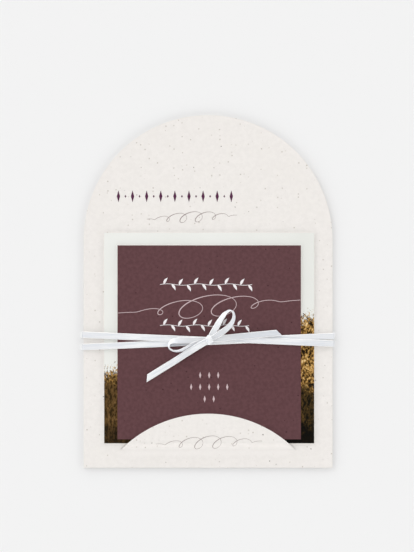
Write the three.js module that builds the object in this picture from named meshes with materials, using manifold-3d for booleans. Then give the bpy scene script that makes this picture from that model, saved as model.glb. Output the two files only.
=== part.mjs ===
// Wedding invitation: an arch-topped card with a curved slit, two square cards tucked behind the
// slit's flap, and a narrow satin ribbon that goes twice round the stack and is tied in a bow.
// Millimetres. X runs across the card, Y towards the arch, Z up from the table it lies on.
import * as THREE from "three";
import * as BufferGeometryUtils from "three/addons/utils/BufferGeometryUtils.js";
import Module from "manifold-3d";

// Arch card
const ARCH_WIDTH = 120;
const ARCH_LENGTH = 170;
const ARCH_STOCK = 0.45;

// Curved slit in the arch card, and the flap that it frees
const SLIT_RADIUS = 60;
const SLIT_SWEEP = Math.PI / 2;
const SLIT_CROWN = 26.3; // height of the slit's top above the card's lower edge
const SLIT_KERF = 0.2;

// Picture card, next to the arch card
const PICTURE_WIDTH = 101.2;
const PICTURE_LENGTH = 101.4;
const PICTURE_STOCK = 0.4;
const PICTURE_SHIFT = 0.5; // sideways, off the arch card's middle
const PICTURE_RISE = 3.1; // its lower edge above the flap's fold

// Text card, on top of the picture card
const TEXT_WIDTH = 88.4;
const TEXT_LENGTH = 93.5;
const TEXT_STOCK = 0.4;
const TEXT_SHIFT = 0.5;
const TEXT_RISE = 5;

// The flap's bend: the share of it that is done where the flap meets the picture card's edge
const BEND_DONE_AT_PICTURE = 0.75;

// Satin ribbon
const RIBBON_WIDTH = 3.1;
const RIBBON_THICKNESS = 0.2;
const STRAND_GAP = 0.02; // between two strands that lie on each other
const EDGE_EASE = 0.3; // how far past a card's edge the ribbon starts to slope down
const EDGE_LIFT = 0.15; // daylight under the ribbon at the stack's outer edge
const EDGE_BULGE = 0.9; // how far the slack turn stands out from that edge
const TURN_SQUARENESS = 3; // 2 is an ellipse; more keeps the band level further out
const KNOT_X = 0.5;
const KNOT_HEIGHT = 62; // above the arch card's lower edge

// Where the two turns lie at the stack's outer edges, above or below the knot
const LEFT_HIGH = 2.1;
const LEFT_LOW = -3.8;
const RIGHT_HIGH = 1.45;
const RIGHT_LOW = -2.15;

// Where the turns run through the knot, above or below its middle
const FIRST_TURN_AT_KNOT = -1.2;
const LEFT_END_AT_KNOT = -0.5;
const RIGHT_END_AT_KNOT = 0.5;

// Knot
const KNOT_WRAP_WIDTH = 2;
const KNOT_LENGTH = 4.7;
const KNOT_THICKNESS = 1.9;
const KNOT_CORE_OUT = 1; // how far the gathered core shows at each side of the wrap
const KNOT_DROP = 0.35; // the wrap's middle below the point where the strands cross
const KNOT_START = 0.1; // how far past that point the two ends of the turns reach
const KNOT_LIFT = 0.04; // daylight between the bands on the card and the wrap
const KNOT_RUN = 7; // length over which a band rises into the knot
const LIFT_RUN = 6; // length over which a crossing band comes down again

// Smoothness
const ARCH_SEGMENTS = 96;
const SLIT_SEGMENTS = 64;
const BEND_SEGMENTS = 12;
const TURN_SEGMENTS = 8;
const BAND_SEGMENTS = 20;
const BOW_STEP = 0.8;
const TAIL_STEP = 1.6;
const KNOT_SEGMENTS = 28;
const WELD = 1e-5;

// Heights of the stack, from the table up
const archBottom = RIBBON_THICKNESS;
const archTop = archBottom + ARCH_STOCK;
const pictureTop = archTop + PICTURE_STOCK;
const textTop = pictureTop + TEXT_STOCK;

// Places along Y
const onCard = (height) => height - ARCH_LENGTH / 2;
const slitCentre = onCard(SLIT_CROWN - SLIT_RADIUS);
const foldY = slitCentre + SLIT_RADIUS * Math.cos(SLIT_SWEEP / 2);
const knotY = onCard(KNOT_HEIGHT);

const wasm = await Module();
wasm.setup();

function solidFrom(geometry) {
  const bare = geometry.clone();
  bare.deleteAttribute("normal");
  bare.deleteAttribute("uv");
  const merged = BufferGeometryUtils.mergeVertices(bare, WELD);
  return new wasm.Manifold(new wasm.Mesh({
    numProp: 3,
    vertProperties: new Float32Array(merged.attributes.position.array),
    triVerts: new Uint32Array(merged.index.array),
  }));
}

function geometryFrom(solid) {
  const mesh = solid.getMesh();
  const geometry = new THREE.BufferGeometry();
  geometry.setAttribute("position", new THREE.BufferAttribute(mesh.vertProperties, 3));
  geometry.setIndex(new THREE.BufferAttribute(mesh.triVerts, 1));
  geometry.computeVertexNormals();
  return geometry;
}

function joined(solids) {
  return solids.reduce((whole, solid) => whole.add(solid));
}

function smoothstep(from, to, value) {
  const t = THREE.MathUtils.clamp((value - from) / (to - from), 0, 1);
  return t * t * (3 - 2 * t);
}

// A sheet with this outline, from one height to another
function sheet(outline, bottom, top, segments) {
  const geometry = new THREE.ExtrudeGeometry(outline, {
    depth: top - bottom,
    bevelEnabled: false,
    curveSegments: segments,
  });
  geometry.translate(0, 0, bottom);
  return geometry;
}

function rectangle(width, length, centreX, lowY) {
  const outline = new THREE.Shape();
  outline.moveTo(centreX - width / 2, lowY);
  outline.lineTo(centreX + width / 2, lowY);
  outline.lineTo(centreX + width / 2, lowY + length);
  outline.lineTo(centreX - width / 2, lowY + length);
  outline.closePath();
  return outline;
}

function archOutline() {
  const half = ARCH_WIDTH / 2;
  const spring = ARCH_LENGTH / 2 - half;
  const outline = new THREE.Shape();
  outline.moveTo(-half, -ARCH_LENGTH / 2);
  outline.lineTo(half, -ARCH_LENGTH / 2);
  outline.lineTo(half, spring);
  outline.absarc(0, spring, half, 0, Math.PI, false);
  outline.closePath();
  return outline;
}

// The cap of a circle about the slit's centre, from a straight base upwards
function capOutline(radius, baseY) {
  const reach = Math.acos((baseY - slitCentre) / radius);
  const outline = new THREE.Shape();
  outline.absarc(0, slitCentre, radius, Math.PI / 2 - reach, Math.PI / 2 + reach, false);
  outline.closePath();
  return outline;
}

// The flap's side view: flat below the fold, an easy bend up over the two cards' lower edges,
// and flat again on the text card
function flapProfile() {
  const rise = textTop - archBottom;
  const bendLength = Math.min(TEXT_RISE, PICTURE_RISE / BEND_DONE_AT_PICTURE);
  const under = [];
  const over = [];
  for (let i = 0; i <= BEND_SEGMENTS; i += 1) {
    const t = i / BEND_SEGMENTS;
    const slope = (rise / bendLength) * 6 * t * (1 - t);
    const lean = Math.hypot(1, slope);
    const y = foldY + bendLength * t;
    const z = archBottom + rise * smoothstep(0, 1, t);
    under.push(new THREE.Vector2(y, z));
    over.push(new THREE.Vector2(y - (ARCH_STOCK * slope) / lean, z + ARCH_STOCK / lean));
  }
  const rootY = foldY - ARCH_STOCK;
  const tipY = slitCentre + SLIT_RADIUS;
  return new THREE.Shape([
    new THREE.Vector2(rootY, archBottom),
    ...under,
    new THREE.Vector2(tipY, textTop),
    new THREE.Vector2(tipY, textTop + ARCH_STOCK),
    ...over.reverse(),
    new THREE.Vector2(rootY, archTop),
  ]);
}

function archCard() {
  const whole = solidFrom(sheet(archOutline(), archBottom, archTop, ARCH_SEGMENTS));
  const window = solidFrom(
    sheet(capOutline(SLIT_RADIUS, foldY), archBottom - ARCH_STOCK, archTop + ARCH_STOCK, SLIT_SEGMENTS),
  );
  const bent = new THREE.ExtrudeGeometry(flapProfile(), { depth: ARCH_WIDTH, bevelEnabled: false });
  bent.rotateY(Math.PI / 2);
  bent.rotateX(Math.PI / 2);
  bent.translate(-ARCH_WIDTH / 2, 0, 0);
  const cap = solidFrom(
    sheet(
      capOutline(SLIT_RADIUS - SLIT_KERF, foldY - ARCH_STOCK),
      archBottom - ARCH_STOCK,
      textTop + 2 * ARCH_STOCK,
      SLIT_SEGMENTS,
    ),
  );
  const flap = solidFrom(bent).intersect(cap);
  return geometryFrom(whole.subtract(window).add(flap));
}

function pictureCard() {
  const outline = rectangle(PICTURE_WIDTH, PICTURE_LENGTH, PICTURE_SHIFT, foldY + PICTURE_RISE);
  return sheet(outline, archTop, pictureTop, 1);
}

function textCard() {
  const outline = rectangle(TEXT_WIDTH, TEXT_LENGTH, TEXT_SHIFT, foldY + TEXT_RISE);
  return sheet(outline, pictureTop, textTop, 1);
}

// A closed strip of ribbon through its stations. A station has its middle, the direction across
// the ribbon there, its width, and how far its cut slants forward on the far side.
function strip(stations) {
  const positions = [];
  const index = [];
  const last = stations.length - 1;
  stations.forEach((station, i) => {
    const before = stations[Math.max(i - 1, 0)].at;
    const after = stations[Math.min(i + 1, last)].at;
    const along = after.clone().sub(before).normalize();
    const across = station.across.clone().addScaledVector(along, -station.across.dot(along)).normalize();
    const face = along.clone().cross(across);
    const half = station.width / 2;
    const slant = station.slant ?? 0;
    for (const [side, level] of [[-1, -1], [1, -1], [1, 1], [-1, 1]]) {
      const corner = station.at.clone();
      corner.addScaledVector(across, side * half);
      corner.addScaledVector(along, side * slant);
      corner.addScaledVector(face, level * RIBBON_THICKNESS / 2);
      positions.push(corner.x, corner.y, corner.z);
    }
  });
  for (let i = 0; i < last; i += 1) {
    for (let k = 0; k < 4; k += 1) {
      const a = 4 * i + k;
      const b = 4 * i + ((k + 1) % 4);
      index.push(a, b, b + 4, a, b + 4, a + 4);
    }
  }
  const end = 4 * last;
  index.push(0, 2, 1, 0, 3, 2, end, end + 1, end + 2, end, end + 2, end + 3);
  return new wasm.Manifold(new wasm.Mesh({
    numProp: 3,
    vertProperties: new Float32Array(positions),
    triVerts: new Uint32Array(index),
  }));
}

// The taut line over the stack from its middle to one side: the corners that the ribbon touches
function tautCorners(side) {
  const reach = (width, shift) => width / 2 + side * shift + EDGE_EASE;
  const corners = [
    [0, textTop],
    [reach(TEXT_WIDTH, TEXT_SHIFT), textTop],
    [reach(PICTURE_WIDTH, PICTURE_SHIFT), pictureTop],
    [ARCH_WIDTH / 2, archTop + EDGE_LIFT],
  ].sort((a, b) => a[0] - b[0] || b[1] - a[1]);
  const kept = [];
  for (const corner of corners) {
    while (kept.length > 1) {
      const [x0, z0] = kept[kept.length - 2];
      const [x1, z1] = kept[kept.length - 1];
      const [x2, z2] = corner;
      if ((x1 - x0) * (z2 - z0) < (z1 - z0) * (x2 - x0)) break;
      kept.pop();
    }
    kept.push(corner);
  }
  return kept;
}

function heightOver(corners, distance) {
  for (let i = 1; i < corners.length; i += 1) {
    const [x0, z0] = corners[i - 1];
    const [x1, z1] = corners[i];
    if (distance <= x1) return THREE.MathUtils.lerp(z0, z1, (distance - x0) / (x1 - x0));
  }
  return corners[corners.length - 1][1];
}

// How far out two bands still overlap, as a share of the way from the knot to the edge
function overlapShare(gapAtKnot, gapAtEdge) {
  const clear = Math.sign(gapAtEdge) * (RIBBON_WIDTH + STRAND_GAP);
  return THREE.MathUtils.clamp((clear - gapAtKnot) / (gapAtEdge - gapAtKnot), 0, 1);
}

// One half of a front band, from the knot out to the stack's edge on one side. The outer pass
// lies over the first one as far as the two overlap, and rises into the knot.
function frontBand(side, atKnot, atEdge, crossed, startX) {
  const corners = tautCorners(side);
  const outer = corners[corners.length - 1][0];
  const across = new THREE.Vector3(0, 1, 0);
  const stations = [];
  const breaks = corners.slice(1).map(([x]) => x);
  const distances = [side * startX];
  for (let i = 1; i < BAND_SEGMENTS; i += 1) {
    distances.push(side * startX + ((outer - side * startX) * i) / BAND_SEGMENTS);
  }
  const all = [...new Set([...distances, ...breaks])].sort((a, b) => a - b);
  for (const distance of all) {
    const fromKnot = distance - side * KNOT_X;
    const share = fromKnot / (outer - side * KNOT_X);
    let lift = 0;
    if (crossed) {
      const end = crossed.share * (outer - side * KNOT_X);
      lift = (RIBBON_THICKNESS + STRAND_GAP) * (1 - smoothstep(end, end + LIFT_RUN, fromKnot));
      lift += crossed.rise * (1 - smoothstep(0, KNOT_RUN, fromKnot));
    }
    stations.push({
      at: new THREE.Vector3(
        side * distance,
        knotY + THREE.MathUtils.lerp(atKnot, atEdge, share),
        heightOver(corners, distance) + RIBBON_THICKNESS / 2 + lift,
      ),
      across,
      width: RIBBON_WIDTH,
    });
  }
  return stations;
}

// The slack turn round the stack's edge, from the front band down to the table
function edgeTurn(side, fromTop) {
  const corners = tautCorners(side);
  const outer = corners[corners.length - 1][0];
  const top = fromTop.at.z;
  const bottom = RIBBON_THICKNESS / 2;
  const stations = [];
  for (let i = 1; i <= TURN_SEGMENTS; i += 1) {
    const angle = (Math.PI * i) / TURN_SEGMENTS;
    const out = Math.sin(angle) ** (2 / TURN_SQUARENESS);
    const up = Math.sign(Math.cos(angle)) * Math.abs(Math.cos(angle)) ** (2 / TURN_SQUARENESS);
    stations.push({
      at: new THREE.Vector3(
        side * (outer + EDGE_BULGE * out),
        fromTop.at.y,
        (top + bottom) / 2 + ((top - bottom) / 2) * up,
      ),
      across: new THREE.Vector3(0, 1, 0),
      width: RIBBON_WIDTH,
    });
  }
  return stations;
}

// Both turns round the stack as one strip: from the knot to the left, under the cards, back over
// the front from the right, under the cards again, and from the right into the knot
function wrappedTurns() {
  const knotRise = KNOT_THICKNESS / 2 - RIBBON_THICKNESS;
  const leftShare = overlapShare(LEFT_END_AT_KNOT - FIRST_TURN_AT_KNOT, LEFT_HIGH - LEFT_LOW);
  const rightShare = overlapShare(RIGHT_END_AT_KNOT - FIRST_TURN_AT_KNOT, RIGHT_LOW - RIGHT_HIGH);
  const left = { share: leftShare, rise: knotRise };
  const right = { share: rightShare, rise: knotRise };
  const leftStart = KNOT_X - KNOT_START;
  const rightEnd = KNOT_X + KNOT_START;

  const outLeft = frontBand(-1, LEFT_END_AT_KNOT, LEFT_HIGH, left, leftStart);
  const turnOne = edgeTurn(-1, outLeft[outLeft.length - 1]);
  const inRight = frontBand(1, FIRST_TURN_AT_KNOT, RIGHT_HIGH, null, KNOT_X);
  const turnTwo = edgeTurn(1, inRight[inRight.length - 1]);
  const onLeft = frontBand(-1, FIRST_TURN_AT_KNOT, LEFT_LOW, null, KNOT_X);
  const turnThree = edgeTurn(-1, onLeft[onLeft.length - 1]);
  const lastIn = frontBand(1, RIGHT_END_AT_KNOT, RIGHT_LOW, right, rightEnd);
  const turnFour = edgeTurn(1, lastIn[lastIn.length - 1]);
  return strip([
    ...outLeft,
    ...turnOne,
    ...turnTwo.reverse(),
    ...inRight.reverse(),
    ...onLeft.slice(1),
    ...turnThree,
    ...turnFour.reverse(),
    ...lastIn.reverse(),
  ]);
}

// Routes of the bow, by hand: right of the knot, above it in the picture, height of the ribbon's
// middle above the text card, tilt in degrees with the inner edge up, and share of full width
const LEFT_LOOP = [
  [-0.3, -0.1, 1.3, 0, 0.7],
  [-3.6, -0.2, 1.25, 2, 0.9],
  [-9.3, -0.65, 1.15, 4, 1],
  [-14.5, -0.65, 1.3, 10, 1],
  [-17.6, -1.0, 1.7, 26, 1],
  [-19.2, -2.4, 2.1, 48, 1],
  [-19.2, -3.9, 2.2, 58, 1],
  [-17.6, -5.0, 2.1, 64, 1],
  [-15.0, -5.3, 1.8, 54, 1],
  [-11.5, -4.6, 1.4, 36, 1],
  [-7.5, -2.9, 1.15, 18, 1],
  [-3.5, -1.3, 1.05, 6, 0.85],
  [-0.4, -0.5, 1.2, 0, 0.7],
];
const RIGHT_LOOP = [
  [0.1, 0.2, 1.5, 0, 0.75],
  [1.5, 2.7, 1.4, -8, 0.9],
  [3.6, 6.2, 1.5, -20, 1],
  [6.5, 11.0, 1.9, -38, 1],
  [8.6, 13.2, 2.4, -56, 1],
  [10.3, 13.9, 2.6, -68, 1],
  [11.6, 12.9, 2.6, -62, 1],
  [11.9, 10.7, 2.4, -54, 1],
  [11.2, 8.5, 2.1, -48, 1],
  [9.4, 6.0, 1.8, -34, 1],
  [5.6, 3.0, 1.65, -14, 1],
  [0.8, 0.1, 1.6, 0, 0.75],
];
const LOWER_TAIL = [
  [0.6, 0.1, 1.6, 0, 0.85],
  [-3.0, -2.0, 1.65, 0, 0.97],
  [-6.0, -3.8, 1.68, 0, 1],
  [-10.5, -6.55, 1.36, 0, 1],
  [-16.0, -10.15, 0.65, 0, 1],
  [-23.0, -14.5, 0.3, 0, 1],
  [-30.0, -18.85, 0.45, 0, 1],
];
const RIGHT_TAIL = [
  [0.2, -0.1, 1.4, 0, 0.75],
  [3.4, 0.15, 1.15, 0, 0.95],
  [8.0, 0.6, 0.85, 0, 1],
  [15.0, 1.3, 0.66, 0, 1],
  [24.0, 2.2, 0.62, 0, 1],
  [33.8, 3.1, 0.9, 0, 1],
];
const LOWER_TAIL_SLANT = 1.1;
const RIGHT_TAIL_SLANT = -1.3;

// A smooth strip along one of those routes, with the ribbon turned about its own line by the tilt
function bowStations(route, step, endSlant) {
  const curve = new THREE.CatmullRomCurve3(
    route.map(([x, y, z]) => new THREE.Vector3(KNOT_X + x, knotY + y, textTop + z)),
    false,
    "centripetal",
  );
  const count = Math.round(curve.getLength() / step);
  const stations = [];
  for (let i = 0; i <= count; i += 1) {
    const t = curve.getUtoTmapping(i / count);
    const place = t * (route.length - 1);
    const from = Math.min(Math.floor(place), route.length - 2);
    const share = smoothstep(0, 1, place - from);
    const tilt = THREE.MathUtils.degToRad(THREE.MathUtils.lerp(route[from][3], route[from + 1][3], share));
    const fullness = THREE.MathUtils.lerp(route[from][4], route[from + 1][4], share);
    const along = curve.getTangent(t);
    const level = new THREE.Vector3(0, 0, 1).cross(along).normalize();
    const raised = along.clone().cross(level);
    stations.push({
      at: curve.getPoint(t),
      across: level.multiplyScalar(Math.cos(tilt)).addScaledVector(raised, Math.sin(tilt)),
      width: RIBBON_WIDTH * fullness,
    });
  }
  stations[count].slant = endSlant;
  return stations;
}

// A loop is two strips that share the section at its tip
function loopHalves(route) {
  const stations = bowStations(route, BOW_STEP, 0);
  const tip = Math.floor(stations.length / 2);
  return [strip(stations.slice(0, tip + 1)), strip(stations.slice(tip))];
}

// The knot: a gathered core with the ribbon's own wrap round it
function knot() {
  const middle = textTop + RIBBON_THICKNESS + KNOT_LIFT + KNOT_THICKNESS / 2;
  const ring = new THREE.Shape();
  ring.absellipse(0, 0, KNOT_THICKNESS / 2, KNOT_LENGTH / 2, 0, 2 * Math.PI, false, 0);
  const wrap = new THREE.ExtrudeGeometry(ring, {
    depth: KNOT_WRAP_WIDTH,
    bevelEnabled: false,
    curveSegments: KNOT_SEGMENTS,
  });
  wrap.translate(0, 0, -KNOT_WRAP_WIDTH / 2);
  wrap.rotateY(Math.PI / 2);
  wrap.translate(KNOT_X, knotY - KNOT_DROP, middle);
  const core = new THREE.SphereGeometry(1, KNOT_SEGMENTS, KNOT_SEGMENTS / 2);
  core.scale(
    KNOT_WRAP_WIDTH / 2 + KNOT_CORE_OUT,
    KNOT_LENGTH / 2 - RIBBON_THICKNESS,
    KNOT_THICKNESS / 2 - RIBBON_THICKNESS / 2,
  );
  core.translate(KNOT_X, knotY - KNOT_DROP, middle);
  return [solidFrom(wrap), solidFrom(core)];
}

function satinRibbon() {
  return geometryFrom(joined([
    wrappedTurns(),
    ...knot(),
    ...loopHalves(LEFT_LOOP),
    ...loopHalves(RIGHT_LOOP),
    strip(bowStations(LOWER_TAIL, TAIL_STEP, LOWER_TAIL_SLANT)),
    strip(bowStations(RIGHT_TAIL, TAIL_STEP, RIGHT_TAIL_SLANT)),
  ]));
}

const materials = {
  recycledCard: new THREE.MeshStandardMaterial({ color: 0xefebe6, roughness: 0.9, metalness: 0 }),
  printedPicture: new THREE.MeshStandardMaterial({ color: 0xdcdcd2, roughness: 0.55, metalness: 0 }),
  burgundyCard: new THREE.MeshStandardMaterial({ color: 0x614447, roughness: 0.8, metalness: 0 }),
  whiteSatin: new THREE.MeshStandardMaterial({ color: 0xf2f2f0, roughness: 0.4, metalness: 0 }),
};

function named(name, geometry, material) {
  const mesh = new THREE.Mesh(geometry, material);
  mesh.name = name;
  return mesh;
}

const invitation = new THREE.Group();
invitation.add(named("arch_card", archCard(), materials.recycledCard));
invitation.add(named("picture_card", pictureCard(), materials.printedPicture));
invitation.add(named("text_card", textCard(), materials.burgundyCard));
invitation.add(named("satin_ribbon", satinRibbon(), materials.whiteSatin));

export default invitation;
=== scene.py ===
# Looks of the wedding invitation: card stocks, prints and the tied satin ribbon, seen from above
import math

import bpy
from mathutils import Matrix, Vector
from mathutils.bvhtree import BVHTree


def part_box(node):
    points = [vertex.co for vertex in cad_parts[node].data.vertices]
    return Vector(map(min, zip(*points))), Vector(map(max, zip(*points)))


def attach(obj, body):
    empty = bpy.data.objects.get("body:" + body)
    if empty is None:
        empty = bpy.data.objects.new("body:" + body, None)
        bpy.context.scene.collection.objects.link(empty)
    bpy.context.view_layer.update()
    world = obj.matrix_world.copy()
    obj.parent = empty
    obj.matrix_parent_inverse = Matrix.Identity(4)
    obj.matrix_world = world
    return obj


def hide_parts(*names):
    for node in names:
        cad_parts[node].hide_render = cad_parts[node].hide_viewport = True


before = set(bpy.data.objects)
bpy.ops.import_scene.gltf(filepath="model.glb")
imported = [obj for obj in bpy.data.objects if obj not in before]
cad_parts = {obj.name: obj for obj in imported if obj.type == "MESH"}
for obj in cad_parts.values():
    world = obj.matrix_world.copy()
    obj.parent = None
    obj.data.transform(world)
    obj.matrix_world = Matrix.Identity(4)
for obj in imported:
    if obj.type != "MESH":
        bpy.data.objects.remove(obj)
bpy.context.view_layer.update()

MM = 0.001

# The photograph's frame and scale
PHOTO_HEIGHT = 552
PIXELS_PER_MM = 2.074
CARD_MIDDLE_PX = 208.15  # the arch card's middle and its lower edge in the photograph
CARD_FOOT_PX = 467.9
PIXELS_ACROSS = 2.0725  # pixels to a millimetre, across the card and up it
PIXELS_UP = 2.076
VIEW_X = -0.55  # the photograph's middle, in millimetres from the card's middle
VIEW_Y = 7.45
LENS = 200
SENSOR = 36
CLIP_START = 0.05
CLIP_END = 20

# The stack, read from the frame, in millimetres
arch_low, arch_high = (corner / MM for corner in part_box("arch_card"))
picture_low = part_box("picture_card")[0] / MM
text_low, text_high = (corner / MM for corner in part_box("text_card"))
TEXT_TOP = text_high.z
ARCH_TOP = picture_low.z
ARCH_LEFT = arch_low.x
ARCH_RIGHT = arch_high.x
ARCH_LENGTH = arch_high.y - arch_low.y
FOLD_Y = -76.3  # where the flap lifts out of the arch card

# The ribbon, as in the part's source
RIBBON_WIDTH = 3.1
RIBBON_THICKNESS = 0.2
STRAND_GAP = 0.02  # between two strands that lie on each other
EDGE_EASE = 0.3  # how far past a card's edge the ribbon starts to slope down
EDGE_LIFT = 0.15  # daylight under the ribbon at the stack's outer edge
EDGE_BULGE = 0.9  # how far the slack turn stands out from that edge
TURN_SQUARENESS = 3  # 2 would give an elliptical turn, more gives a squarer one
KNOT_X = 0.5
KNOT_Y = -23.0
KNOT_WRAP_WIDTH = 2.0
KNOT_LENGTH = 4.7
KNOT_THICKNESS = 1.9
KNOT_CORE_OUT = 1.0  # how far the gathered core shows at each side of the wrap
KNOT_DROP = 0.35  # the wrap's middle below the point where the strands cross
KNOT_LIFT = 0.04  # daylight between the bands on the card and the wrap
KNOT_RUN = 7  # length over which a band rises into the knot
LIFT_RUN = 6  # length over which a crossing band comes down again
LEFT_HIGH = 2.1  # where the turns lie at the stack's outer edges, above or below the knot
LEFT_LOW = -3.8
RIGHT_HIGH = 1.45
RIGHT_LOW = -2.15
FIRST_TURN_AT_KNOT = -1.2  # where they run through the knot, above or below its middle
LEFT_END_AT_KNOT = -0.5
RIGHT_END_AT_KNOT = 0.5

# The ribbon's finer mesh
SATIN_THICKNESS = 0.16
SATIN_CROWN = 0.02  # how much lower the edges lie than the middle
PLEAT_START = 1.5  # distances from the knot between which the pleats run out
PLEAT_END = 9
BAND_STEPS = 48
TURN_STEPS = 16
BOW_STEP = 0.35
SLANT_RUN = 2.5  # length over which a tail's sections turn to its slanting cut
KNOT_MAP_LENGTH = 12  # length round the knot on the satin's map
LOOP_ALONG = 1000  # where the loops start on the satin's map, past the end of the turns
GREY_TAIL_ALONG = 2000  # where the right tail starts on the satin's map; the satin is greyer along it
PICK_SPACING = 0.22  # between the satin's crossing threads

# Routes of the bow: right of the knot, above it, height above the text card, tilt, share of width
LEFT_LOOP = [
    (-0.3, -0.1, 1.3, 0, 0.7),
    (-3.6, -0.2, 1.25, 2, 0.9),
    (-9.3, -0.65, 1.15, 4, 1),
    (-14.5, -0.65, 1.3, 14, 1),
    (-17.6, -1.0, 1.7, 46, 1),
    (-19.35, -2.4, 2.1, 70, 1),
    (-19.4, -4.0, 2.2, 74, 1),
    (-17.8, -5.35, 2.1, 73, 1),
    (-15.0, -5.65, 1.8, 66, 1),
    (-11.5, -4.6, 1.4, 50, 1),
    (-7.5, -2.9, 1.15, 18, 1),
    (-3.5, -1.3, 1.05, 6, 0.85),
    (-0.4, -0.5, 1.2, 0, 0.7),
]
RIGHT_LOOP = [
    (0.1, 0.2, 1.5, 0, 0.75),
    (1.5, 2.7, 1.4, -8, 0.9),
    (3.6, 6.2, 1.5, -20, 1),
    (6.5, 11.0, 1.9, -42, 1),
    (8.6, 13.2, 2.4, -66, 1),
    (10.3, 13.9, 2.5, -76, 1),
    (11.6, 12.9, 2.5, -70, 1),
    (11.9, 10.7, 2.4, -60, 1),
    (11.2, 8.5, 2.1, -50, 1),
    (9.4, 6.0, 1.8, -34, 1),
    (5.6, 3.0, 1.65, -14, 1),
    (0.8, 0.1, 1.6, 0, 0.75),
]
LOWER_TAIL = [
    (0.6, 0.1, 1.6, 0, 0.85),
    (-3.0, -2.0, 1.65, 0, 0.97),
    (-6.0, -3.8, 1.68, 0, 1),
    (-10.5, -6.55, 1.36, 0, 1),
    (-16.0, -10.15, 0.65, 0, 1),
    (-23.0, -14.5, 0.3, 0, 1),
    (-30.0, -18.85, 0.45, 0, 1),
]
RIGHT_TAIL = [
    (0.2, -0.1, 1.4, 0, 0.75),
    (3.4, 0.15, 1.15, 0, 0.95),
    (8.0, 0.6, 0.85, 0, 1),
    (15.0, 1.3, 0.66, 0, 1),
    (24.0, 2.2, 0.62, 0, 1),
    (33.8, 3.1, 0.9, 0, 1),
]
LOWER_TAIL_SLANT = 1.1
RIGHT_TAIL_SLANT = -1.3

# Light: a share of 1 in all renders a level surface at its own colour
WORLD_SHARE = 0.56
HORIZON_SHARE = 0.27  # a band of light round the horizon, which shades the foot of every step
HORIZON_LOW = 0.05  # sines of the band's elevations
HORIZON_HIGH = 0.34
SUNS = [
    # name, azimuth it comes from, elevation, angular size, share of the light
    ("key", 128, 60, 35, 0.12),
    ("low_upper_left", 132, 14, 14, 0.05),
]
BACKDROP = (243, 243, 243)
FLOOR_REACH = 2  # metres to each side

# The picture print's fields in millimetres: its sides, and the heights of two borders at each side
PRINT_LEFT = -50
PRINT_RIGHT = 51
FLECKED_TOP = (-38.6, -11.6)
FLECKED_FOOT = (-41.5, -45.5)

# Where the printed ornaments lie, in the photograph's pixels, and their sizes in millimetres
PLUM_START_PX = (118.5, 196.2)
PLUM_STEP_PX = 7.05
PLUM_COUNT = 17
LARGE_PLUM = (1.6, 5.6)
SMALL_PLUM = (0.9, 1.3)
ARCH_SCROLL_PX = ((147, 219), (237, 215))
FLAP_SCROLL_PX = ((156, 444), (262, 441))
LONG_SCROLL_PX = ((118, 313), (300.4, 300))
GARLANDS_PX = [((160, 284.5), (252, 284.5)), ((160, 325.5), (249, 325.5))]
GARLAND_LEAVES = 12
LEAF_LENGTH = 3.6
LEAF_WIDTH = 1.25
LEAF_SLANT = 58
LEAF_BOW = 0.08  # how far a leaf bows out, as a share of its length
LEAF_TAPER = 0.8  # below 1, a leaf is broadest nearer to its foot than to its tip
STEM_WIDTH = 0.22
STEM_WAVE = 0.35
PALE_MIDDLE_PX = 209.2
PALE_STEP_PX = 9
PALE_ROWS_PX = [(3, 375.2), (5, 387), (2, 399)]  # lozenges in each row, and its height
PALE_LOZENGE = (1.1, 3.2)
INK_DEPTH = 0.02
INK_SHADE = 14  # how much darker worn ink is, of 255
LEAST_STROKE = 0.04


def lerp(a, b, t):
    return a + (b - a) * t


def smoothstep(low, high, value):
    t = min(max((value - low) / (high - low), 0), 1)
    return t * t * (3 - 2 * t)


def srgb(red, green, blue):
    """A colour as it is seen, 0 to 255, as the shader's linear colour."""
    def linear(level):
        share = level / 255
        return share / 12.92 if share <= 0.04045 else ((share + 0.055) / 1.055) ** 2.4
    return (linear(red), linear(green), linear(blue), 1)


class Nodes:
    """A node tree, with short calls for the nodes that the world and the materials share."""

    def __init__(self, tree):
        self.nodes = tree.nodes
        self.links = tree.links

    def put(self, socket, value):
        if isinstance(value, bpy.types.NodeSocket):
            self.links.new(value, socket)
        else:
            socket.default_value = value

    def math(self, operation, a, b=0.0, c=0.0):
        node = self.nodes.new("ShaderNodeMath")
        node.operation = operation
        for socket, value in zip(node.inputs, (a, b, c)):
            self.put(socket, value)
        return node.outputs[0]

    def times(self, *factors):
        product = factors[0]
        for factor in factors[1:]:
            product = self.math("MULTIPLY", product, factor)
        return product

    def swing(self, value, reach):
        """A noise from 0 to 1 as a shift to both sides of 0."""
        return self.times(self.math("SUBTRACT", value, 0.5), reach)

    def ramp(self, value, low, high, to_low=0.0, to_high=1.0, smooth=True):
        node = self.nodes.new("ShaderNodeMapRange")
        node.interpolation_type = "SMOOTHSTEP" if smooth else "LINEAR"
        for name, item in (("Value", value), ("From Min", low), ("From Max", high),
                           ("To Min", to_low), ("To Max", to_high)):
            self.put(node.inputs[name], item)
        return node.outputs["Result"]

    def mix(self, share, a, b):
        node = self.nodes.new("ShaderNodeMix")
        node.data_type = "RGBA"
        self.put(node.inputs["Factor"], share)
        self.put(node.inputs[6], a)
        self.put(node.inputs[7], b)
        return node.outputs[2]

    def axis(self, vector, name):
        node = self.nodes.new("ShaderNodeSeparateXYZ")
        self.put(node.inputs[0], vector)
        return node.outputs[name]


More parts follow.
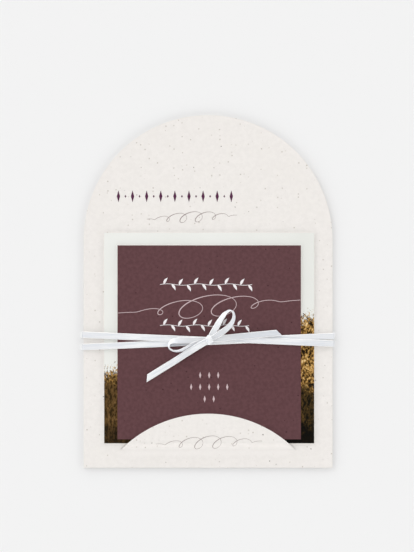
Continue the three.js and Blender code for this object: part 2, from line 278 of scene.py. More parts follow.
class Graph(Nodes):
    """A material's node tree, with the textures, masks and bumps that the materials use."""

    def __init__(self, name, roughness=0.8, specular=0.3):
        self.material = bpy.data.materials.new(name)
        self.material.use_nodes = True
        super().__init__(self.material.node_tree)
        self.surface = self.nodes["Principled BSDF"]
        self.surface.inputs["Roughness"].default_value = roughness
        self.surface.inputs["Specular IOR Level"].default_value = specular

    def place(self, scale=(1, 1, 1), turn=0, source="Object"):
        """The point on the object in millimetres, scaled and turned about Z."""
        where = self.nodes.new("ShaderNodeTexCoord")
        mapping = self.nodes.new("ShaderNodeMapping")
        per_mm = 1 if source == "UV" else 1 / MM
        mapping.inputs["Scale"].default_value = [s * per_mm for s in scale]
        mapping.inputs["Rotation"].default_value = (0, 0, math.radians(turn))
        self.links.new(where.outputs[source], mapping.inputs["Vector"])
        return mapping.outputs["Vector"]

    def noise(self, at, scale, detail=3, rough=0.55, warp=0, output="Fac"):
        node = self.nodes.new("ShaderNodeTexNoise")
        self.put(node.inputs["Vector"], at)
        node.inputs["Scale"].default_value = scale
        node.inputs["Detail"].default_value = detail
        node.inputs["Roughness"].default_value = rough
        node.inputs["Distortion"].default_value = warp
        return node.outputs[output]

    def cells(self, at, scale, output="Distance"):
        node = self.nodes.new("ShaderNodeTexVoronoi")
        self.put(node.inputs["Vector"], at)
        node.inputs["Scale"].default_value = scale
        return node.outputs[output]

    def warped(self, at, scale, reach):
        """The point, pushed about by a noise, so that round spots turn ragged."""
        bend = self.nodes.new("ShaderNodeVectorMath")
        bend.operation = "SCALE"
        bend.inputs["Scale"].default_value = reach
        self.put(bend.inputs[0], self.noise(at, scale, 2, 0.5, output="Color"))
        moved = self.nodes.new("ShaderNodeVectorMath")
        moved.operation = "ADD"
        self.put(moved.inputs[0], at)
        self.put(moved.inputs[1], bend.outputs[0])
        return moved.outputs[0]

    def spots(self, at, scale, radii, rarity, channel):
        """A mask of spots, one in some of the cells: scale is cells to a millimetre."""
        spot = self.ramp(self.cells(at, scale), *radii, 1, 0)
        chosen = self.axis(self.cells(at, scale, "Color"), channel)
        return self.times(spot, self.ramp(chosen, *rarity))

    def fibres(self, stretch, turn, scale, low, high, strength):
        """A mask of fine curved threads, and the noise that it comes from."""
        threads = self.noise(self.place(stretch, turn), scale, 3, 0.5, 0.8)
        return self.ramp(threads, low, high, 0, strength), threads

    def facing_up(self):
        """1 on the printed front, 0 on the cut edges and the back."""
        normal = self.nodes.new("ShaderNodeTexCoord").outputs["Normal"]
        return self.ramp(self.axis(normal, "Z"), 0.5, 0.8)

    def level_face(self):
        """1 on the faces, whichever way up they are, 0 on the cut edges."""
        normal = self.nodes.new("ShaderNodeTexCoord").outputs["Normal"]
        return self.ramp(self.math("ABSOLUTE", self.axis(normal, "Z")), 0.4, 0.7)

    def bump(self, height, distance, strength=1.0, below=None):
        node = self.nodes.new("ShaderNodeBump")
        node.inputs["Strength"].default_value = strength
        node.inputs["Distance"].default_value = distance * MM
        self.put(node.inputs["Height"], height)
        if below is not None:
            self.put(node.inputs["Normal"], below)
        return node.outputs["Normal"]

    def finish(self, colour, normal):
        self.put(self.surface.inputs["Base Color"], colour)
        self.put(self.surface.inputs["Normal"], normal)
        return self.material


def add(name, data):
    """A new object in the scene."""
    made = bpy.data.objects.new(name, data)
    bpy.context.scene.collection.objects.link(made)
    return made


def make_camera():
    data = bpy.data.cameras.new("camera")
    data.lens = LENS
    data.sensor_width = SENSOR
    data.clip_start = CLIP_START
    data.clip_end = CLIP_END
    distance = PHOTO_HEIGHT / PIXELS_PER_MM * LENS / SENSOR
    camera = add("camera", data)
    camera.location = (VIEW_X * MM, VIEW_Y * MM, (distance + ARCH_TOP) * MM)
    bpy.context.scene.camera = camera


def make_sun(name, azimuth, elevation, size, share):
    data = bpy.data.lights.new(name, "SUN")
    up = math.radians(elevation)
    data.energy = math.pi * share / math.sin(up)
    data.angle = math.radians(size)
    lamp = add(name, data)
    turn = math.radians(azimuth)
    towards = Vector((math.cos(turn) * math.cos(up), math.sin(turn) * math.cos(up), math.sin(up)))
    lamp.rotation_mode = "QUATERNION"
    lamp.rotation_quaternion = towards.to_track_quat("Z", "Y")


def horizon_gain():
    """What turns the band's share into radiance. A level surface gets twice the integral of
    radiance times sine, and the band's radiance falls to 0 in a line."""
    rise = HORIZON_HIGH - HORIZON_LOW
    share_at_one = 2 * (HORIZON_LOW * rise / 2 + rise * rise / 6)
    return HORIZON_SHARE / share_at_one


def make_world():
    """An even sky with a band of light round the horizon, behind a plain backdrop."""
    world = bpy.data.worlds.new("studio")
    bpy.context.scene.world = world
    world.use_nodes = True
    w = Nodes(world.node_tree)
    w.nodes.clear()
    sine = w.axis(w.nodes.new("ShaderNodeTexCoord").outputs["Generated"], "Z")
    falling = w.ramp(sine, HORIZON_LOW, HORIZON_HIGH, 1, 0, smooth=False)
    band = w.times(falling, w.math("GREATER_THAN", sine, HORIZON_LOW))
    light = w.nodes.new("ShaderNodeBackground")
    w.put(light.inputs["Color"], (1, 1, 1, 1))
    w.put(light.inputs["Strength"], w.math("MULTIPLY_ADD", band, horizon_gain(), WORLD_SHARE))
    seen = w.nodes.new("ShaderNodeBackground")
    w.put(seen.inputs["Color"], srgb(*BACKDROP))
    path = w.nodes.new("ShaderNodeLightPath")
    direct = w.math("MAXIMUM", path.outputs["Is Camera Ray"], path.outputs["Is Glossy Ray"])
    mix = w.nodes.new("ShaderNodeMixShader")
    w.put(mix.inputs["Fac"], w.math("MAXIMUM", direct, path.outputs["Is Transmission Ray"]))
    w.put(mix.inputs[1], light.outputs[0])
    w.put(mix.inputs[2], seen.outputs[0])
    out = w.nodes.new("ShaderNodeOutputWorld")
    w.put(out.inputs["Surface"], mix.outputs[0])


def make_floor():
    mesh = bpy.data.meshes.new("floor")
    corners = [(x * FLOOR_REACH, y * FLOOR_REACH, 0) for x, y in ((-1, -1), (1, -1), (1, 1), (-1, 1))]
    mesh.from_pydata(corners, [], [(0, 1, 2, 3)])
    material = bpy.data.materials.new("floor")
    material.use_nodes = True
    surface = material.node_tree.nodes["Principled BSDF"]
    surface.inputs["Base Color"].default_value = srgb(*BACKDROP)
    surface.inputs["Roughness"].default_value = 1
    surface.inputs["Specular IOR Level"].default_value = 0
    mesh.materials.append(material)
    add("floor", mesh)


def painted_light_at_fold(g, at):
    """Where the arch card is painted paler along and below the flap's foot: painted light that offsets
    the shade in the fold.
    """
    across, up = g.axis(at, "X"), g.axis(at, "Y")
    below = g.ramp(up, FOLD_Y - 4.4, FOLD_Y - 0.8)
    above = g.ramp(up, FOLD_Y + 0.3, FOLD_Y + 0.9, 1, 0)
    between = g.ramp(g.math("ABSOLUTE", across), 36, 43, 0.7, 0)
    return g.times(below, above, between)


def recycled_card():
    """Off-white uncoated stock: soft mottling, pale fibres and a scatter of grey-brown specks."""
    g = Graph("recycled_card", roughness=0.9, specular=0.2)
    at = g.place()
    mottling = g.ramp(g.noise(at, 0.5, 4, 0.6), 0.32, 0.68)
    colour = g.mix(mottling, srgb(237, 233, 229), srgb(242, 238, 234))
    clouds = g.ramp(g.noise(at, 0.08, 2), 0.35, 0.7, 0, 0.35)
    colour = g.mix(clouds, colour, srgb(238, 234, 229))
    long_fibres, threads = g.fibres((0.35, 2.2, 1), 32, 1.6, 0.68, 0.74, 0.5)
    colour = g.mix(long_fibres, colour, srgb(224, 218, 210))
    cross_fibres, _ = g.fibres((2.0, 0.3, 1), -21, 1.5, 0.69, 0.75, 0.45)
    colour = g.mix(cross_fibres, colour, srgb(226, 221, 215))
    ragged = g.warped(at, 2.4, 0.5)
    dark_specks = g.spots(ragged, 0.3, (0.06, 0.12), (0.82, 1.02), "X")
    colour = g.mix(g.times(dark_specks, 0.95), colour, srgb(108, 96, 88))
    pale_specks = g.spots(ragged, 0.5, (0.12, 0.24), (0.7, 0.9), "X")
    colour = g.mix(g.times(pale_specks, 0.95), colour, srgb(204, 197, 189))
    # Painted light: a paler band at the flap's foot, against the shade in the fold
    colour = g.mix(painted_light_at_fold(g, at), colour, srgb(250, 246, 242))
    # Cut edges greyer than the face: partly the stock's own cut, partly painted shade, so that less light
    # bounces from them beside each step
    core = g.mix(g.noise(at, 2, 3), srgb(188, 183, 177), srgb(204, 199, 193))
    tooth = g.bump(g.noise(at, 3.2, 5, 0.65), 0.05, 0.35)
    return g.finish(g.mix(g.level_face(), core, colour), g.bump(threads, 0.03, 0.3, tooth))


def burgundy_card():
    """Uncoated stock printed a deep wine colour on its front, with off-white cut edges."""
    g = Graph("burgundy_card", roughness=0.88, specular=0.1)
    at = g.place()
    mottling = g.ramp(g.noise(at, 0.6, 3, 0.5), 0.3, 0.7)
    front = g.mix(mottling, srgb(93, 63, 66), srgb(101, 69, 72))
    specks = g.spots(at, 0.34, (0.06, 0.15), (0.6, 0.9), "Y")
    front = g.mix(g.times(specks, 0.85), front, srgb(58, 36, 40))
    pale_fibres, _ = g.fibres((0.4, 2.0, 1), 28, 1.7, 0.69, 0.76, 0.35)
    front = g.mix(pale_fibres, front, srgb(116, 86, 88))
    # Cut edges greyer than white: partly the stock's own cut, partly painted shade, so that less light
    # bounces from them beside each step
    core = g.mix(g.noise(at, 2, 3), srgb(196, 184, 182), srgb(212, 202, 199))
    tooth = g.bump(g.noise(at, 3.0, 4, 0.55), 0.05, 0.12)
    return g.finish(g.mix(g.facing_up(), core, front), tooth)


def pale_field(g, at, across):
    """The picture print's upper field, a little cooler to the right."""
    cloud = g.noise(at, 0.06, 2)
    left = g.mix(cloud, srgb(234, 235, 230), srgb(241, 242, 238))
    right = g.mix(cloud, srgb(230, 231, 226), srgb(237, 238, 233))
    return g.mix(g.ramp(across, 10, 50), left, right)


def flecked_field(g, clumps):
    """Golden flecks on brown, at two scales."""
    flecks = g.noise(g.place((1.25, 0.8, 1), 35), 0.85, 4, 0.65)
    shade = g.math("ADD", g.times(clumps, 0.35), g.times(flecks, 0.65))
    brown = g.mix(g.ramp(shade, 0.435, 0.495), srgb(30, 20, 6), srgb(132, 98, 48))
    golden = g.mix(g.ramp(shade, 0.50, 0.55), brown, srgb(198, 155, 88))
    return g.mix(g.ramp(shade, 0.57, 0.63), golden, srgb(244, 218, 166))


def streaked_field(g, across, up, clumps):
    """Upright streaks, darker to the right and at the foot."""
    streaks = g.noise(g.place((1.5, 0.6, 1), 6), 0.6, 5, 0.75)
    body = g.ramp(streaks, 0.44, 0.53)
    right = g.mix(body, srgb(13, 10, 3), srgb(62, 47, 22))
    right = g.mix(g.ramp(streaks, 0.57, 0.66, 0, 0.8), right, srgb(112, 84, 42))
    left = g.mix(body, srgb(48, 34, 12), srgb(94, 70, 38))
    left = g.mix(g.ramp(streaks, 0.58, 0.68, 0, 0.8), left, srgb(140, 106, 66))
    deep = g.mix(g.ramp(across, -20, 30), left, right)
    near_foot = g.ramp(g.math("ADD", up, g.swing(clumps, 20.0)), -69, -60, 0.95, 0)
    return g.mix(g.times(near_foot, g.ramp(across, -20, 30, 0.6, 1)), deep, srgb(5, 4, 2))


def picture_print():
    """A satin print on white paper: a pale field over two mottled warm fields, darker downwards."""
    g = Graph("picture_print", roughness=0.6, specular=0.06)
    at = g.place()
    across, up = g.axis(at, "X"), g.axis(at, "Y")
    clumps = g.noise(at, 0.34, 4, 0.6)
    # The flecked field's upper edge climbs to the right and has a ragged fringe
    slope = g.ramp(across, PRINT_LEFT, PRINT_RIGHT, *FLECKED_TOP, smooth=False)
    fringe = g.swing(g.noise(g.place((1.5, 0.7, 1), 20), 1.0, 5, 0.75), 30.0)
    ragged = g.math("ADD", g.swing(g.noise(at, 0.3, 5, 0.7), 14.0), fringe)
    depth = g.math("SUBTRACT", g.math("ADD", slope, ragged), up)
    # Its lower edge falls to the right
    edge = g.ramp(across, PRINT_LEFT, PRINT_RIGHT, *FLECKED_FOOT, smooth=False)
    lower = g.math("ADD", edge, g.swing(clumps, 30.0))
    streaked = g.ramp(g.math("SUBTRACT", lower, up), -3, 4)
    warm = g.mix(streaked, flecked_field(g, clumps), streaked_field(g, across, up, clumps))
    front = g.mix(g.ramp(depth, -0.6, 0.7), pale_field(g, at, across), warm)
    # Cut edges greyer than white paper: partly the paper's own cut, partly painted shade, so that less
    # light bounces from them beside each step
    paper = g.mix(g.noise(at, 1.5, 3), srgb(204, 203, 199), srgb(214, 213, 210))
    return g.finish(g.mix(g.facing_up(), paper, front), g.bump(g.noise(at, 5, 3), 0.01, 0.15))


def satin_tone(g, v, off_centre):
    """The satin's colour along the ribbon: the bands, brighter in their middle than at their ends with a
    painted sheen, the loops, darker with painted shade against the light their tilted faces catch, and
    the right tail, greyer.
    """
    tone = g.noise(g.place((0.8, 0.12, 1), source="UV"), 1.0, 3)
    # Painted sheen: the bands are brighter in their middle
    middle = g.mix(tone, srgb(241, 242, 244), srgb(249, 250, 251))
    ends = g.mix(tone, srgb(231, 233, 236), srgb(239, 240, 242))
    # Painted shade: the loops are darker than the bands
    loops = g.mix(tone, srgb(221, 223, 226), srgb(230, 231, 233))
    greyer_tail = g.mix(tone, srgb(212, 215, 220), srgb(221, 224, 228))
    bands = g.mix(g.ramp(off_centre, 38, 54), middle, ends)
    satin = g.mix(g.math("GREATER_THAN", v, LOOP_ALONG - 1), bands, loops)
    return g.mix(g.ramp(v, GREY_TAIL_ALONG + 8, GREY_TAIL_ALONG + 18), satin, greyer_tail)


def white_satin():
    """Woven satin: lengthwise floats, painted blue-grey shade in lengthwise streaks and between the
    floats, and firm woven selvedges painted lighter as a highlight.
    """
    g = Graph("white_satin", roughness=0.42, specular=0.12)
    along = g.place(source="UV")
    u, v = g.axis(along, "X"), g.axis(along, "Y")
    off_middle = g.math("ABSOLUTE", u)
    off_centre = g.math("ABSOLUTE", g.axis(g.place(), "X"))
    streaks = g.noise(g.place((0.55, 0.06, 1), source="UV"), 1.0, 3, 0.55)
    floats = g.noise(g.place((9, 0.5, 1), source="UV"), 1.0, 2, 0.5)
    picks = g.math("SINE", g.times(v, 2 * math.pi / PICK_SPACING))
    stitch_line = g.times(g.ramp(off_middle, 0.86, 1.04), g.ramp(off_middle, 1.1, 1.26, 1, 0))
    colour = satin_tone(g, v, off_centre)
    # Painted shade: blue-grey lengthwise streaks
    colour = g.mix(g.ramp(streaks, 0.42, 0.62, 0, 0.7), colour, srgb(219, 223, 230))
    # Painted shade: blue-grey between the floats
    colour = g.mix(g.ramp(floats, 0.45, 0.7, 0, 0.35), colour, srgb(222, 226, 233))
    colour = g.mix(g.times(stitch_line, 0.4), colour, srgb(210, 214, 220))
    # Painted highlight: the selvedges lighter, without the blue-grey
    colour = g.mix(g.ramp(off_middle, 1.16, 1.34), colour, srgb(239, 239, 239))
    # The turns round the stack's edge are in shade
    outside = g.ramp(off_centre, ARCH_RIGHT + 0.1, ARCH_RIGHT + 0.8)
    colour = g.mix(g.times(outside, 0.6), colour, srgb(204, 206, 208))
    weave = g.math("ADD", floats, g.times(picks, 0.12))
    return g.finish(colour, g.bump(weave, 0.03, 0.5))


def ink(name, tone):
    """Printed ink, slightly uneven where the stock's tooth shows through."""
    g = Graph(name, roughness=0.6, specular=0.3)
    at = g.place()
    shade = [max(level - INK_SHADE, 0) for level in tone]
    worn = g.ramp(g.noise(at, 3.0, 4), 0.4, 0.75, 0, 0.6)
    tooth = g.bump(g.noise(at, 3.2, 5, 0.65), 0.03, 0.3)
    return g.finish(g.mix(worn, srgb(*tone), srgb(*shade)), tooth)


def route_curve(points, step):
    """Points on a centripetal Catmull-Rom curve, with the share of the route at each of them."""
    ends = [points[0] * 2 - points[1], *points, points[-1] * 2 - points[-2]]
    samples = []
    for i in range(1, len(ends) - 2):
        p0, p1, p2, p3 = ends[i - 1:i + 3]
        t1 = (p1 - p0).length ** 0.5
        t2 = t1 + (p2 - p1).length ** 0.5
        t3 = t2 + (p3 - p2).length ** 0.5
        count = max(2, round((p2 - p1).length / step))
        for k in range(count):
            share = k / count
            t = lerp(t1, t2, share)
            a1 = p0.lerp(p1, t / t1)
            a2 = p1.lerp(p2, (t - t1) / (t2 - t1))
            a3 = p2.lerp(p3, (t - t2) / (t3 - t2))
            b1 = a1.lerp(a2, t / t2)
            b2 = a2.lerp(a3, (t - t1) / (t3 - t1))
            samples.append((b1.lerp(b2, (t - t1) / (t2 - t1)), i - 1 + share))
    samples.append((points[-1].copy(), len(points) - 1))
    return samples


def bow_stations(route, slant=0.0):
    """Sections along one of the bow's routes: place, direction across, width and slant."""
    points = [Vector((KNOT_X + x, KNOT_Y + y, TEXT_TOP + z)) for x, y, z, _, _ in route]
    samples = route_curve(points, BOW_STEP)
    stations = []
    for i, (at, place) in enumerate(samples):
        start = min(int(place), len(route) - 2)
        share = smoothstep(0, 1, place - start)
        tilt = math.radians(lerp(route[start][3], route[start + 1][3], share))
        fullness = lerp(route[start][4], route[start + 1][4], share)
        along = (samples[min(i + 1, len(samples) - 1)][0] - samples[max(i - 1, 0)][0]).normalized()
        level = Vector((0, 0, 1)).cross(along).normalized()
        across = level * math.cos(tilt) + along.cross(level) * math.sin(tilt)
        stations.append([at, across, RIBBON_WIDTH * fullness, 0.0])
    left = 0
    for i in range(len(stations) - 1, -1, -1):
        stations[i][3] = slant * max(0, 1 - left / SLANT_RUN)
        if i:
            left += (stations[i][0] - stations[i - 1][0]).length
    return stations


def taut_corners(side):
    """The taut line over the stack, from its middle to one side."""
    text_edge = (text_high.x if side > 0 else -text_low.x) + EDGE_EASE
    arch_edge = ARCH_RIGHT if side > 0 else -ARCH_LEFT
    return [(0, TEXT_TOP), (text_edge, TEXT_TOP), (arch_edge, ARCH_TOP + EDGE_LIFT)]


def height_over(corners, distance):
    for (x0, z0), (x1, z1) in zip(corners, corners[1:]):
        if distance <= x1:
            return lerp(z0, z1, (distance - x0) / (x1 - x0))
    return corners[-1][1]


def overlap_share(gap_at_knot, gap_at_edge):
    """How far out two bands still overlap, as a share of the way from the knot to the edge."""
    clear = math.copysign(RIBBON_WIDTH + STRAND_GAP, gap_at_edge)
    return min(max((clear - gap_at_knot) / (gap_at_edge - gap_at_knot), 0), 1)


def front_band(side, at_knot, at_edge, overlap, start_x):
    """One half of a front band, from the knot out to the stack's edge. overlap is the share of the
    way over which it lies on the other band, or None for the band that lies on the card."""
    corners = taut_corners(side)
    outer = corners[-1][0]
    stations = []
    for i in range(BAND_STEPS + 1):
        distance = lerp(side * start_x, outer, i / BAND_STEPS)
        out = distance - side * KNOT_X
        share = out / (outer - side * KNOT_X)
        lift = 0
        if overlap is not None:
            end = overlap * (outer - side * KNOT_X)
            lift = (RIBBON_THICKNESS + STRAND_GAP) * (1 - smoothstep(end, end + LIFT_RUN, out))
            lift += (KNOT_THICKNESS / 2 - RIBBON_THICKNESS) * (1 - smoothstep(0, KNOT_RUN, out))
        at = Vector((side * distance, KNOT_Y + lerp(at_knot, at_edge, share),
                     height_over(corners, distance) + RIBBON_THICKNESS / 2 + lift))
        stations.append([at, Vector((0, 1, 0)), RIBBON_WIDTH, 0.0])
    return stations


def edge_turn(side, top_station):
    """The slack turn round the stack's edge, from the front band down to the table."""
    outer = taut_corners(side)[-1][0]
    top = top_station[0].z
    bottom = RIBBON_THICKNESS / 2
    stations = []
    for i in range(1, TURN_STEPS + 1):
        angle = math.pi * i / TURN_STEPS
        out = abs(math.sin(angle)) ** (2 / TURN_SQUARENESS)
        up = math.copysign(abs(math.cos(angle)) ** (2 / TURN_SQUARENESS), math.cos(angle))
        at = Vector((side * (outer + EDGE_BULGE * out), top_station[0].y,
                     (top + bottom) / 2 + (top - bottom) / 2 * up))
        stations.append([at, Vector((0, 1, 0)), RIBBON_WIDTH, 0.0])
    return stations


def wrapped_turns():
    """Both turns round the stack as one strand, from the knot round and back into it."""
    left = overlap_share(LEFT_END_AT_KNOT - FIRST_TURN_AT_KNOT, LEFT_HIGH - LEFT_LOW)
    right = overlap_share(RIGHT_END_AT_KNOT - FIRST_TURN_AT_KNOT, RIGHT_LOW - RIGHT_HIGH)
    out_left = front_band(-1, LEFT_END_AT_KNOT, LEFT_HIGH, left, KNOT_X - STRAND_GAP)
    in_right = front_band(1, FIRST_TURN_AT_KNOT, RIGHT_HIGH, None, KNOT_X)
    on_left = front_band(-1, FIRST_TURN_AT_KNOT, LEFT_LOW, None, KNOT_X)
    last_in = front_band(1, RIGHT_END_AT_KNOT, RIGHT_LOW, right, KNOT_X + STRAND_GAP)
    return [
        *out_left, *edge_turn(-1, out_left[-1]),
        *reversed(edge_turn(1, in_right[-1])), *reversed(in_right),
        *on_left[1:], *edge_turn(-1, on_left[-1]),
        *reversed(edge_turn(1, last_in[-1])), *reversed(last_in),
    ]


def pleat(distance_from_knot):
    """How strongly the ribbon is gathered there, from 1 in the knot to 0 on the flat."""
    return 1 - smoothstep(PLEAT_START, PLEAT_END, distance_from_knot)


class RibbonMesh:
    """Closed lofted strands with rounded selvedges, gathered into one mesh with a map in mm."""

    HALF = 10  # steps across the ribbon
    RIM = 0.14  # share of half the width over which an edge rounds off
    RIM_LEFT = 0.02  # square of the share of the thickness that is left at the very edge
    THIN = 0.8  # the middle's thickness, as a share of the selvedges'
    SELVEDGE = (0.6, 0.88)  # places across, between which the ribbon thickens
    PLEATS = 3
    PLEAT_HEIGHT = 0.09  # how far a pleat rises and falls, where it is gathered in full
    PLEAT_RISE = 0.04  # how far the pleats' middle lies above the flat ribbon's

    def __init__(self):
        self.points = []
        self.faces = []
        self.maps = []

    def section(self, width, gathered):
        """Offsets across and out of the face, and the place across the ribbon, round the section."""
        ring = []
        for level in (1, -1):
            order = range(self.HALF + 1) if level > 0 else range(self.HALF, -1, -1)
            for k in order:
                u = -1 + 2 * k / self.HALF
                rim = max(0, (abs(u) - (1 - self.RIM)) / self.RIM)
                thick = SATIN_THICKNESS / 2 * lerp(self.THIN, 1, smoothstep(*self.SELVEDGE, abs(u)))
                thick *= math.sqrt(max(1 - rim * rim, self.RIM_LEFT))
                wave = math.cos(self.PLEATS * math.pi * u)
                fold = gathered * (self.PLEAT_RISE + self.PLEAT_HEIGHT * wave)
                camber = -SATIN_CROWN * u * u * (1 - gathered)
                ring.append((u * width / 2, level * thick + fold + camber, u * RIBBON_WIDTH / 2))
        return ring

    def strand(self, stations, along_start=0.0):
        """A closed strip of ribbon through its stations."""
        first = len(self.points)
        count = 2 * (self.HALF + 1)
        length = along_start
        rings = []
        for i, (at, across, width, slant) in enumerate(stations):
            before = stations[max(i - 1, 0)][0]
            after = stations[min(i + 1, len(stations) - 1)][0]
            along = (after - before).normalized()
            side = (across - along * across.dot(along)).normalized()
            face = along.cross(side)
            if i:
                length += (at - before).length
            from_knot = (Vector((at.x, at.y, 0)) - Vector((KNOT_X, KNOT_Y, 0))).length
            gathered = pleat(from_knot) if at.z > TEXT_TOP else 0
            ring = []
            for off, out, u in self.section(width, gathered):
                share = 2 * off / width
                self.points.append(at + side * off + face * out + along * slant * share)
                ring.append((u, length))
            rings.append(ring)
        for i in range(len(stations) - 1):
            for k in range(count):
                after = (k + 1) % count
                a = first + i * count + k
                b = first + i * count + after
                self.faces.append((a, a + count, b + count, b))
                self.maps.append((rings[i][k], rings[i + 1][k], rings[i + 1][after], rings[i][after]))
        for i, flip in ((0, False), (len(stations) - 1, True)):
            for k in range(self.HALF):
                quad = [k, k + 1, count - 2 - k, count - 1 - k]
                if flip:
                    quad.reverse()
                self.faces.append(tuple(first + i * count + q for q in quad))
                self.maps.append(tuple(rings[i][q] for q in quad))

    def knot(self):
        """The wrap: the ribbon's own band, folded lengthwise and pulled tight over the crossing."""
        at_rims = 0.86  # the wrap's size at its two rims, as a share of that in its middle
        flatness = 5  # the higher, the nearer to the rims it falls off
        fold_depth = 0.02
        fold_waves = 0.8
        fold_sway = 0.6
        narrowing = 0.12  # of its width towards its upper and lower end
        lean = 0.06  # to the left, towards its upper end

        def point(u, turn):
            swell = math.sqrt(max(1 - abs(u) ** flatness, 0.0))
            wave = math.cos(fold_waves * 2 * math.pi * u + fold_sway * math.sin(turn))
            squeeze = lerp(at_rims, 1, swell) * (1 + fold_depth * wave)
            x = u * KNOT_WRAP_WIDTH / 2 * (1 - narrowing * math.cos(turn) ** 2)
            y = KNOT_LENGTH / 2 * math.cos(turn) * squeeze
            z = KNOT_THICKNESS / 2 * math.sin(turn) * squeeze
            return (x - lean * y, y, z)
        self.bundle(point, rows=18, around=56, reach=1)

    def core(self):
        """The strands' gathered bundle, showing at both sides of the wrap."""
        half_length = KNOT_LENGTH / 2 - 0.25  # inside the wrap
        half_thickness = KNOT_THICKNESS / 2 - 0.15
        creases = 7
        crease_depth = 0.03

        def point(u, turn):
            crease = math.sqrt(1 - u * u) * (1 + crease_depth * math.cos(creases * turn))
            x = u * (KNOT_WRAP_WIDTH / 2 + KNOT_CORE_OUT)
            return (x, half_length * math.cos(turn) * crease, half_thickness * math.sin(turn) * crease)
        self.bundle(point, rows=20, around=48, reach=0.98)

    def bundle(self, point, rows, around, reach):
        """A closed form along X round the knot's middle. point takes the place along it, from
        minus reach to reach, and the turn round it."""
        middle_z = TEXT_TOP + RIBBON_THICKNESS + KNOT_LIFT + KNOT_THICKNESS / 2
        middle = Vector((KNOT_X, KNOT_Y - KNOT_DROP, middle_z))
        first = len(self.points)
        for i in range(rows + 1):
            for k in range(around):
                place = point(reach * (2 * i / rows - 1), 2 * math.pi * k / around)
                self.points.append(middle + Vector(place))
        self.skin(first, rows, around)

    def skin(self, first, rows, around):
        def on_map(i, k):
            return (2 * i / rows - 1, KNOT_MAP_LENGTH * k / around)
        for i in range(rows):
            for k in range(around):
                a = first + i * around + k
                b = first + i * around + (k + 1) % around
                self.faces.append((a, b, b + around, a + around))
                self.maps.append((on_map(i, k), on_map(i, k + 1), on_map(i + 1, k + 1), on_map(i + 1, k)))
        last = first + rows * around
        self.faces.append(tuple(first + k for k in reversed(range(around))))
        self.maps.append(tuple(on_map(0, k) for k in reversed(range(around))))
        self.faces.append(tuple(last + k for k in range(around)))
        self.maps.append(tuple(on_map(rows, k) for k in range(around)))

    def build(self, name, material):
        mesh = bpy.data.meshes.new(name)
        mesh.from_pydata([point * MM for point in self.points], [], self.faces)
        layer = mesh.uv_layers.new(name="ribbon")
        corner = 0
        for face in self.maps:
            for u, v in face:
                layer.data[corner].uv = (u, v)
                corner += 1
        mesh.shade_smooth()
        mesh.materials.append(material)
        return add(name, mesh)


def make_ribbon():
    ribbon = RibbonMesh()
    ribbon.strand(wrapped_turns())
    for route in (LEFT_LOOP, RIGHT_LOOP):
        ribbon.strand(bow_stations(route), LOOP_ALONG)
    ribbon.strand(bow_stations(LOWER_TAIL, slant=LOWER_TAIL_SLANT))
    ribbon.strand(bow_stations(RIGHT_TAIL, slant=RIGHT_TAIL_SLANT), GREY_TAIL_ALONG)
    ribbon.core()
    ribbon.knot()
    made = ribbon.build("tied_ribbon", white_satin())
    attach(made, "root")
    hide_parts("satin_ribbon")


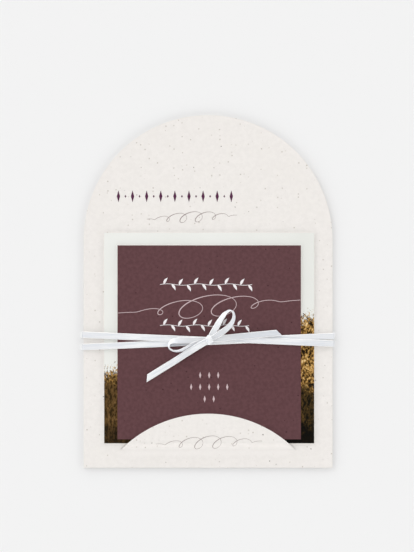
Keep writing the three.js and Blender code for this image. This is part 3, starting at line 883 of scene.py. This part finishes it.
class Film:
    """Strokes of ink in millimetres, dropped on a card and closed on all sides."""

    def __init__(self, height_at):
        self.height_at = height_at
        self.points = []
        self.faces = []

    def stroke(self, line, widths):
        first = len(self.points)
        for i, (at, width) in enumerate(zip(line, widths)):
            before = line[max(i - 1, 0)]
            after = line[min(i + 1, len(line) - 1)]
            along = (after - before).normalized()
            side = Vector((-along.y, along.x)) * (max(width, LEAST_STROKE) / 2)
            for edge in (at + side, at - side):
                top = self.height_at(edge)
                self.points.append(Vector((edge.x, edge.y, top + INK_DEPTH)))
                self.points.append(Vector((edge.x, edge.y, top - INK_DEPTH)))
        for i in range(len(line) - 1):
            a = first + 4 * i
            self.faces += [(a, a + 2, a + 6, a + 4), (a + 1, a + 5, a + 7, a + 3),
                           (a, a + 4, a + 5, a + 1), (a + 2, a + 3, a + 7, a + 6)]
        last = first + 4 * (len(line) - 1)
        self.faces += [(first, first + 1, first + 3, first + 2), (last, last + 2, last + 3, last + 1)]

    def lozenge(self, at, width, height):
        steps = 6
        line = [at + Vector((0, height * (i / steps - 0.5))) for i in range(steps + 1)]
        self.stroke(line, [width * (1 - abs(2 * i / steps - 1)) for i in range(steps + 1)])

    def leaf(self, foot, angle, length, width):
        steps = 10
        turn = math.radians(angle)
        way = Vector((math.cos(turn), math.sin(turn)))
        bow = Vector((-way.y, way.x)) * (LEAF_BOW * length)
        line = [foot + way * (length * i / steps) + bow * math.sin(math.pi * i / steps)
                for i in range(steps + 1)]
        widths = [width * math.sin(math.pi * (i / steps) ** LEAF_TAPER) for i in range(steps + 1)]
        self.stroke(line, widths)

    def garland(self, left, right):
        """A fine waving stem with leaves to both sides in turn."""
        def stem(share):
            wave = STEM_WAVE * math.sin(share * math.pi * GARLAND_LEAVES / 2)
            return left.lerp(right, share) + Vector((0, wave))
        steps = 60
        self.stroke([stem(i / steps) for i in range(steps + 1)], [STEM_WIDTH] * (steps + 1))
        for k in range(GARLAND_LEAVES):
            slant = LEAF_SLANT if k % 2 == 0 else -LEAF_SLANT
            self.leaf(stem((k + 0.5) / GARLAND_LEAVES), slant, LEAF_LENGTH, LEAF_WIDTH)

    def scroll(self, left, right, turns, reach, loop, lean, fade, fine, broad):
        """A looping flourish that runs out to a plain line at both ends. reach and loop are half the
        height and width of its loops, and fine and broad its least and greatest stroke."""
        steps = 60 * turns
        line = []
        widths = []
        for i in range(steps + 1):
            t = 2 * i / steps - 1
            strength = (1 - t * t) ** fade
            angle = math.pi * turns * t
            x = loop * math.sin(angle) * strength
            y = reach * math.cos(angle) * strength
            line.append(left.lerp(right, (t + 1) / 2) + Vector((x + lean * y, y)))
            widths.append(fine + (broad - fine) * strength * (0.5 - 0.5 * math.sin(angle)) ** 2)
        self.stroke(line, widths)

    def build(self, name, material):
        mesh = bpy.data.meshes.new(name)
        mesh.from_pydata([point * MM for point in self.points], [], self.faces)
        mesh.materials.append(material)
        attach(add(name, mesh), "root")


def surface_of(node):
    """The height of a card's upper face under a point, in millimetres."""
    points = [node.matrix_world @ vertex.co / MM for vertex in node.data.vertices]
    tree = BVHTree.FromPolygons(points, [tuple(face.vertices) for face in node.data.polygons])
    above = 50  # higher than all of the stack

    def height_at(place):
        hit = tree.ray_cast(Vector((place.x, place.y, above)), Vector((0, 0, -1)))[0]
        return hit.z
    return height_at


def print_at(place_px):
    """A place in the photograph's frame as millimetres on the cards."""
    x_px, y_px = place_px
    x = (x_px - CARD_MIDDLE_PX) / PIXELS_ACROSS
    y = (CARD_FOOT_PX - y_px) / PIXELS_UP - ARCH_LENGTH / 2
    return Vector((x, y))


def plum_lozenges(on_arch):
    """A row of lozenges, large and small in turn."""
    film = Film(on_arch)
    x_px, y_px = PLUM_START_PX
    for k in range(PLUM_COUNT):
        size = LARGE_PLUM if k % 2 == 0 else SMALL_PLUM
        film.lozenge(print_at((x_px + PLUM_STEP_PX * k, y_px)), *size)
    film.build("plum_lozenges", ink("plum_ink", (80, 27, 64)))


def taupe_scrolls(on_arch):
    """One scroll under the lozenges and one on the flap."""
    film = Film(on_arch)
    film.scroll(*map(print_at, ARCH_SCROLL_PX),
                turns=6, reach=2.6, loop=3.2, lean=0.5, fade=1.5, fine=0.16, broad=0.42)
    film.scroll(*map(print_at, FLAP_SCROLL_PX),
                turns=6, reach=3.2, loop=3.8, lean=0.5, fade=1.5, fine=0.14, broad=0.34)
    film.build("taupe_scrolls", ink("taupe_ink", (158, 145, 142)))


def white_garlands(on_text):
    film = Film(on_text)
    for ends in GARLANDS_PX:
        film.garland(*map(print_at, ends))
    film.build("white_garlands", ink("white_ink", (246, 242, 243)))


def pale_scroll(on_text):
    """A scroll from edge to edge of the text card, and three short rows of lozenges below it."""
    film = Film(on_text)
    film.scroll(*map(print_at, LONG_SCROLL_PX),
                turns=6, reach=5.6, loop=9.5, lean=0.65, fade=3, fine=0.26, broad=0.5)
    for count, y_px in PALE_ROWS_PX:
        for k in range(count):
            x_px = PALE_MIDDLE_PX + PALE_STEP_PX * (k - (count - 1) / 2)
            film.lozenge(print_at((x_px, y_px)), *PALE_LOZENGE)
    film.build("pale_scroll", ink("pale_ink", (208, 186, 188)))


def dress(node, material):
    node.data.materials.clear()
    node.data.materials.append(material)


make_camera()
make_world()
for sun in SUNS:
    make_sun(*sun)
make_floor()

arch_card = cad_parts["arch_card"]
picture_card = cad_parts["picture_card"]
text_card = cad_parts["text_card"]
dress(arch_card, recycled_card())
dress(picture_card, picture_print())
dress(text_card, burgundy_card())
arch_surface = surface_of(arch_card)
text_surface = surface_of(text_card)
plum_lozenges(arch_surface)
taupe_scrolls(arch_surface)
white_garlands(text_surface)
pale_scroll(text_surface)
make_ribbon()

bpy.context.scene.view_settings.view_transform = "Standard"
